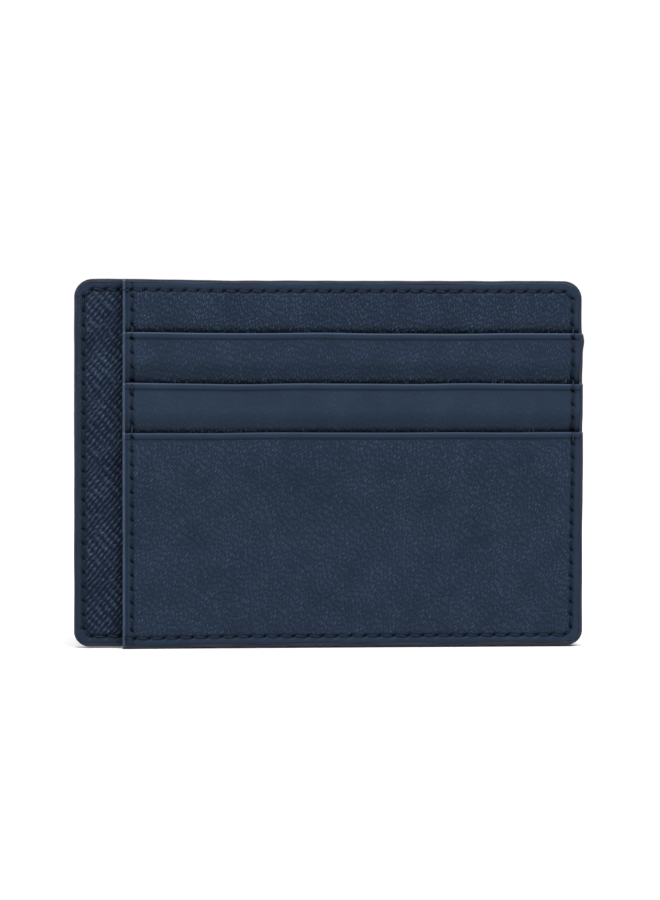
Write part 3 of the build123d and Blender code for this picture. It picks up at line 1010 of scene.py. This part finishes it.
points = np.stack(ring, axis=1)
mouth_piece = mesh_piece(
    "mouth_edge_paint", points.reshape(-1, 3), loft_faces(len(mouth_places), len(ring)), mouth_paint
)
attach(mouth_piece, "root")
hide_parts("mouth_edge_coat")

# ---------------------------------------------------------------------------------------------
# Stitches. Both seams are lockstitched on a machine with twisted polyester thread, 0.4 mm thick.
# Each stitch comes out at one end of a slanting needle slit and goes in at the far end of the
# next, so it lies at a slant and sinks at both ends.


def named_input(tree, name, kind, value=None):
    """Gives a node group a named input."""
    made = tree.interface.new_socket(name, in_out="INPUT", socket_type="NodeSocket" + kind)
    if value is not None:
        made.default_value = value


def stitch_tree():
    """Turns each loose edge into one arched, twisted, tapering stitch."""
    tree = bpy.data.node_groups.new("lockstitch", "GeometryNodeTree")
    tree.interface.new_socket("Geometry", in_out="OUTPUT", socket_type="NodeSocketGeometry")
    named_input(tree, "Geometry", "Geometry")
    named_input(tree, "Thread Radius", "Float", 0.0002)
    named_input(tree, "Outward", "Vector", (0.0, -1.0, 0.0))
    named_input(tree, "Turns", "Float", 2.2)
    named_input(tree, "Segments", "Int", 11)
    named_input(tree, "Thread", "Material")
    given = tree.nodes.new("NodeGroupInput").outputs
    curve = add(tree, "GeometryNodeMeshToCurve", {"Mesh": given["Geometry"]}).outputs[0]
    spaced = add(
        tree, "GeometryNodeResampleCurve", {"Curve": curve, "Count": given["Segments"]}
    ).outputs[0]
    along = add(tree, "GeometryNodeSplineParameter").outputs["Factor"]
    left = add(tree, "ShaderNodeMath", {0: 1.0, 1: along}, operation="SUBTRACT").outputs[0]
    product = add(tree, "ShaderNodeMath", {0: along, 1: left}, operation="MULTIPLY").outputs[0]
    hump = add(tree, "ShaderNodeMath", {0: product, 1: 4.0}, operation="MULTIPLY").outputs[0]
    arch = add(tree, "ShaderNodeMath", {0: hump, 1: 0.45}, operation="POWER").outputs[0]
    rise = add(tree, "GeometryNodeInputNamedAttribute", {"Name": "rise"}, data_type="FLOAT").outputs[0]
    lift = add(tree, "ShaderNodeMath", {0: arch, 1: rise}, operation="MULTIPLY").outputs[0]
    push = add(
        tree, "ShaderNodeVectorMath", {0: given["Outward"], "Scale": lift}, operation="SCALE"
    ).outputs[0]
    bent = add(tree, "GeometryNodeSetPosition", {"Geometry": spaced, "Offset": push}).outputs[0]
    thick = add(
        tree, "ShaderNodeMapRange", {"Value": arch, "To Min": 0.55, "To Max": 1.0}
    ).outputs[0]
    twist = add(tree, "ShaderNodeMath", {0: along, 1: given["Turns"]}, operation="MULTIPLY").outputs[0]
    angle = add(tree, "ShaderNodeMath", {0: twist, 1: 2.0 * math.pi}, operation="MULTIPLY").outputs[0]
    tilted = add(tree, "GeometryNodeSetCurveTilt", {"Curve": bent, "Tilt": angle}).outputs[0]
    # two plies: a circle pinched at its waist
    circle = add(
        tree,
        "GeometryNodeCurvePrimitiveCircle",
        {"Resolution": 8, "Radius": given["Thread Radius"]},
    ).outputs[0]
    where = add(tree, "GeometryNodeInputPosition").outputs[0]
    pinch = add(
        tree, "ShaderNodeVectorMath", {0: where, 1: (1.0, 0.72, 1.0)}, operation="MULTIPLY"
    ).outputs[0]
    plies = add(
        tree, "GeometryNodeSetPosition", {"Geometry": circle, "Position": pinch}
    ).outputs[0]
    tube = add(
        tree,
        "GeometryNodeCurveToMesh",
        {"Curve": tilted, "Profile Curve": plies, "Scale": thick, "Fill Caps": True},
    ).outputs[0]
    shaded = add(tree, "GeometryNodeSetShadeSmooth", {"Geometry": tube}).outputs[0]
    real = add(tree, "GeometryNodeRealizeInstances", {"Geometry": shaded}).outputs[0]
    done = add(
        tree, "GeometryNodeSetMaterial", {"Geometry": real, "Material": given["Thread"]}
    ).outputs[0]
    add(tree, "NodeGroupOutput", {"Geometry": done})
    return tree


lockstitch = stitch_tree()
thread_radius = 0.2
stitch_reach = 0.3  # how far a stitch's ends lie from the middle of its slits
stitch_root = 0.3  # how deep its ends lie in them
stitch_rise = 0.34


def stitches(name, holes, closed, depth_at, outward, node, material):
    """One seam's stitches as a plain mesh."""
    ends = np.roll(holes, -1, axis=0) if closed else holes[1:]
    starts = holes if closed else holes[:-1]
    turned = slit_directions(holes, closed)
    after = np.roll(turned, -1, axis=0) if closed else turned[1:]
    before = turned if closed else turned[:-1]
    first = starts + stitch_reach * before
    last = ends - stitch_reach * after
    points, rises = [], []
    for (x1, z1), (x2, z2) in zip(first, last):
        t = np.linspace(0.0, 1.0, 9)
        under = depth_at(x1 + t * (x2 - x1), z1 + t * (z2 - z1))
        chord = under[0] + t * (under[-1] - under[0])
        # a stitch that climbs over a hem arches higher
        rise = stitch_rise + max(0.0, ((under - chord) * outward).max() - 0.1)
        for x, z, depth in ((x1, z1, under[0]), (x2, z2, under[-1])):
            z = float(trimmed(np.array(x), np.array(z), x > mouth_x and outward > 0))
            y = face_y - depth + outward * stitch_root
            points.append((x * MILLI, y * MILLI, z * MILLI))
            rises.append(rise * MILLI)
    mesh = bpy.data.meshes.new(name + "_layout")
    mesh.from_pydata(points, [(2 * i, 2 * i + 1) for i in range(len(first))], [])
    mesh.attributes.new("rise", "FLOAT", "POINT").data.foreach_set("value", rises)
    layout = bpy.data.objects.new(name + "_layout", mesh)
    bpy.context.scene.collection.objects.link(layout)
    modifier = layout.modifiers.new("lockstitch", "NODES")
    modifier.node_group = lockstitch
    values = {
        "Thread Radius": thread_radius * MILLI,
        "Outward": (0.0, -float(outward), 0.0),
        "Turns": 2.2,
        "Segments": 11,
        "Thread": material,
    }
    for item in lockstitch.interface.items_tree:
        if item.in_out == "INPUT" and item.name in values:
            modifier[item.identifier] = values[item.name]
    evaluated = layout.evaluated_get(bpy.context.evaluated_depsgraph_get())
    plain = bpy.data.meshes.new_from_object(evaluated)
    plain.name = name
    piece = bpy.data.objects.new(name, plain)
    bpy.context.scene.collection.objects.link(piece)
    bpy.data.objects.remove(layout)
    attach(piece, "root")
    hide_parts(node)


def front_surface(x, z):
    """Where a stitch lies on the front: the relief's groove, without the slits."""
    return face_depth(x, z) - seam_sink


def rear_surface(x, z):
    """Where a stitch lies on the back."""
    return np.full(np.shape(x), rear_face + seam_sink)


for name, holes, closed, surface, outward, node in (
    ("perimeter_front", perimeter_holes, True, front_surface, 1, "perimeter_needle_thread"),
    ("perimeter_rear", perimeter_holes, True, rear_surface, -1, "perimeter_bobbin_thread"),
    ("mouth_front", mouth_holes, False, front_surface, 1, "mouth_needle_thread"),
):
    stitches(name + "_stitches", holes, closed, surface, outward, node, navy_thread)
# inside the side pocket the thread isn't seen, and keeps the CAD shape
dress("mouth_bobbin_thread", navy_thread)

# ---------------------------------------------------------------------------------------------
# The studio. The holder stands on its foot on plain pale paper, with a white surround behind it, a
# large soft light above and in front, and a smaller one at each side.


def studio_paper(name):
    """Matte pale paper with a very slight tooth."""
    material, tree, shader = new_material(name)
    place = add(tree, "ShaderNodeTexCoord").outputs["Object"]
    tooth = add(tree, "ShaderNodeTexNoise", {"Vector": place, "Scale": 900.0, "Detail": 2.0})
    bump = add(
        tree, "ShaderNodeBump", {"Height": tooth.outputs["Fac"], "Strength": 0.1, "Distance": 0.00005}
    )
    link_shader(tree, shader, {"Normal": bump.outputs[0]})
    shader.inputs["Base Color"].default_value = linear("#C8C8C8")
    shader.inputs["Roughness"].default_value = 0.9
    return material


table_half = 6.0
corners = [(table_half * side, table_half * near, 0) for side, near in ((-1, -1), (1, -1), (1, 1), (-1, 1))]
table_mesh = bpy.data.meshes.new("table")
table_mesh.from_pydata(corners, [], [(0, 1, 2, 3)])
table_mesh.materials.append(studio_paper("matte_pale_paper"))
table = bpy.data.objects.new("table", table_mesh)
bpy.context.scene.collection.objects.link(table)

world = bpy.data.worlds.new("white_surround")
world.use_nodes = True
world_tree = world.node_tree
direction = add(world_tree, "ShaderNodeTexCoord").outputs["Generated"]
axes = add(world_tree, "ShaderNodeSeparateXYZ", {0: direction}).outputs
# the surround is white behind the holder and nearly black in front of it
around = add(
    world_tree,
    "ShaderNodeMapRange",
    {"Value": axes["Y"], "From Min": -0.1, "From Max": 0.3, "To Min": 0.08, "To Max": 1.02},
    interpolation_type="SMOOTHSTEP",
).outputs[0]
world_tree.links.new(around, world_tree.nodes["Background"].inputs["Strength"])
world_tree.nodes["Background"].inputs["Color"].default_value = (1.0, 1.0, 1.0, 1.0)
bpy.context.scene.world = world

middle = Vector((0.0, 0.0, height / 2 * MILLI))


def soft_light(kind, name, place, size, strength):
    """A soft light that faces the middle of the holder."""
    data = bpy.data.lights.new(name, kind)
    data.energy = strength
    if kind == "AREA":
        data.shape = "SQUARE"
        data.size = size
    else:
        data.angle = size
    light = bpy.data.objects.new(name, data)
    light.location = place
    toward = middle - Vector(place)
    light.rotation_mode = "QUATERNION"
    light.rotation_quaternion = toward.to_track_quat("-Z", "Y")
    bpy.context.scene.collection.objects.link(light)


soft_light("SUN", "light_above", (0.0, -0.35, 1.0), 0.7, 4.3)
soft_light("AREA", "light_right", (0.35, -0.35, 0.5), 0.3, 3.4)
soft_light("AREA", "light_left", (-0.5, -0.35, 0.4), 0.3, 2.6)

view_turn = math.radians(-3.0)
view_distance = 0.5
eye_level = 0.058
camera_data = bpy.data.cameras.new("camera")
camera = bpy.data.objects.new("camera", camera_data)
camera.location = (view_distance * math.sin(view_turn), -view_distance * math.cos(view_turn), eye_level)
camera.rotation_euler = (math.radians(90.0), 0.0, view_turn)
camera_data.lens = 99.5
camera_data.sensor_width = 36.0
camera_data.shift_x = 0.0011
camera_data.shift_y = -0.1014
camera_data.clip_start = 0.01
camera_data.clip_end = 50.0
bpy.context.scene.collection.objects.link(camera)
bpy.context.scene.camera = camera
bpy.context.scene.view_settings.view_transform = "Standard"
